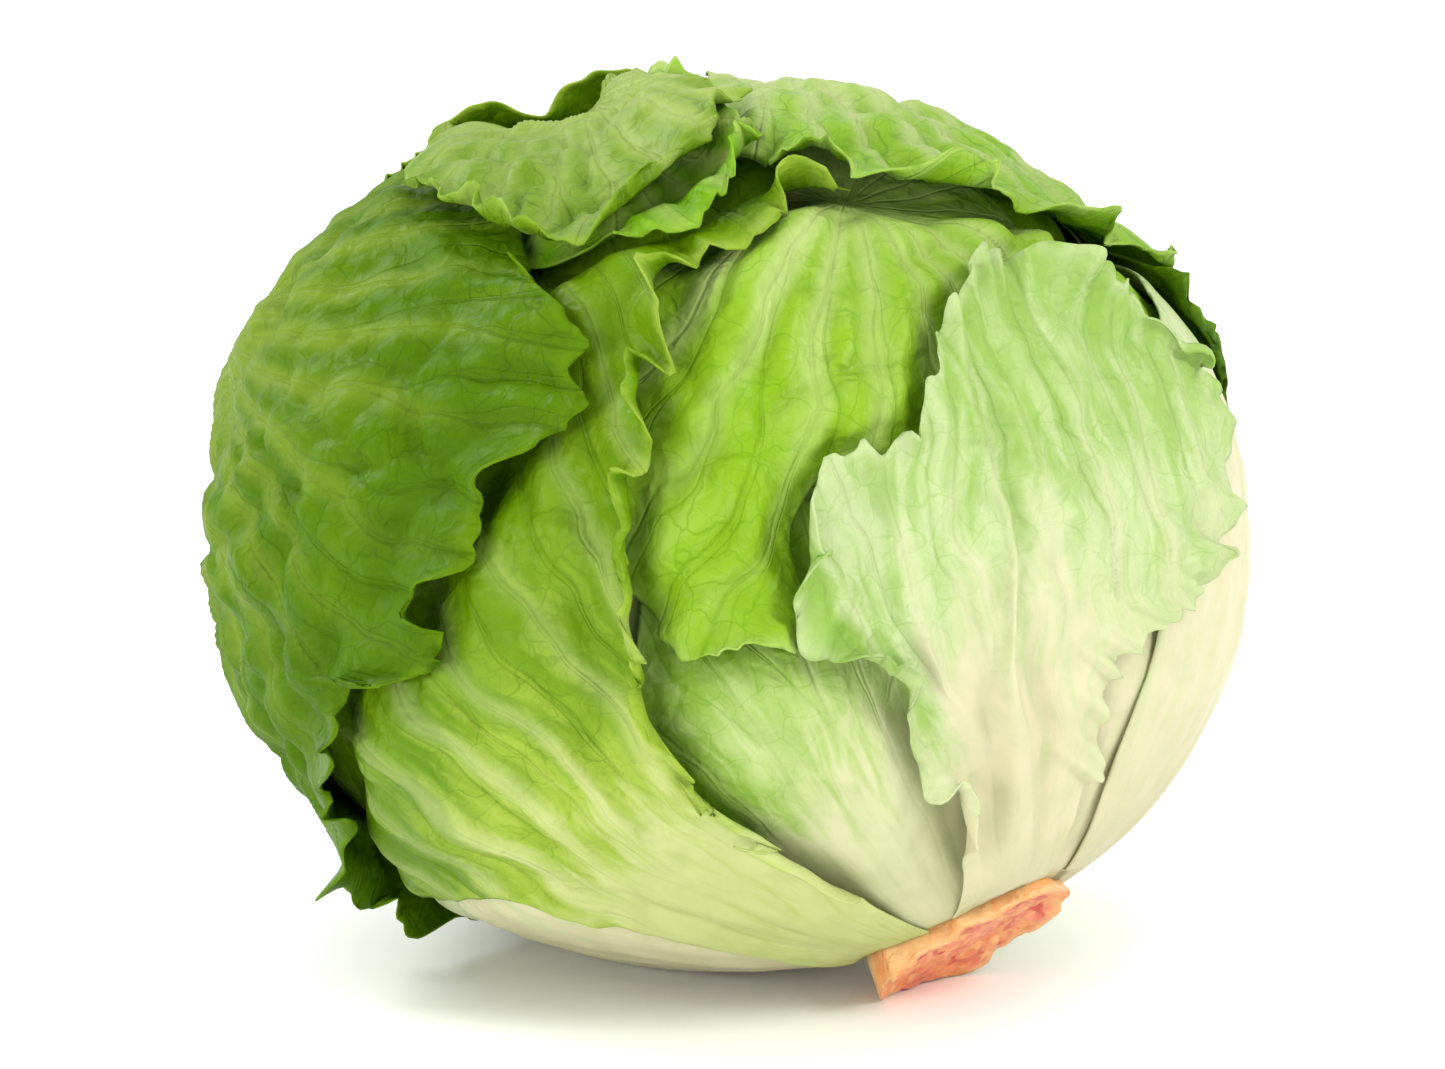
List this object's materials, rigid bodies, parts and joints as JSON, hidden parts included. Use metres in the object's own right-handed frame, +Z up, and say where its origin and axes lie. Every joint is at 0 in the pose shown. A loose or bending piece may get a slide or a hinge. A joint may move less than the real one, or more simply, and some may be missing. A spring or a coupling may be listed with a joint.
{
  "type": "head of lettuce",
  "caption": "Round head of iceberg lettuce lying on its side, with overlapping crinkled wrapper leaves that meet at a short cut stem.",
  "frame": {"origin": "under the middle of the head, on the surface it rests on", "axes": "+Z up; -Y is the front, where the front leaves fan out of the cut stem; +X to the right as seen from the front, the side the stem points to"},
  "size_m": [0.1674, 0.1576, 0.1433],
  "materials": {
    "stem": "matte",
    "heart": "satin",
    "pale_leaf": "satin",
    "light_green_leaf": "satin",
    "mid_green_leaf": "satin",
    "deep_green_leaf": "satin"
  },
  "bodies": {
    "root": {"stem": "stem", "heart": "heart", "inner_right_leaf": "pale_leaf", "under_leaf": "pale_leaf", "front_centre_leaf": "pale_leaf", "right_leaf": "pale_leaf", "front_right_leaf": "pale_leaf", "front_left_leaf": "light_green_leaf", "crown_front_leaf": "light_green_leaf", "crown_right_leaf": "light_green_leaf", "inner_back_leaf": "light_green_leaf", "back_left_leaf": "mid_green_leaf", "back_right_leaf": "mid_green_leaf", "left_wrapper_leaf": "mid_green_leaf", "crown_left_leaf": "mid_green_leaf", "outer_back_leaf": "mid_green_leaf", "hollow_crown_leaf": "deep_green_leaf", "crown_middle_leaf": "deep_green_leaf"}
  },
  "joints": []
}
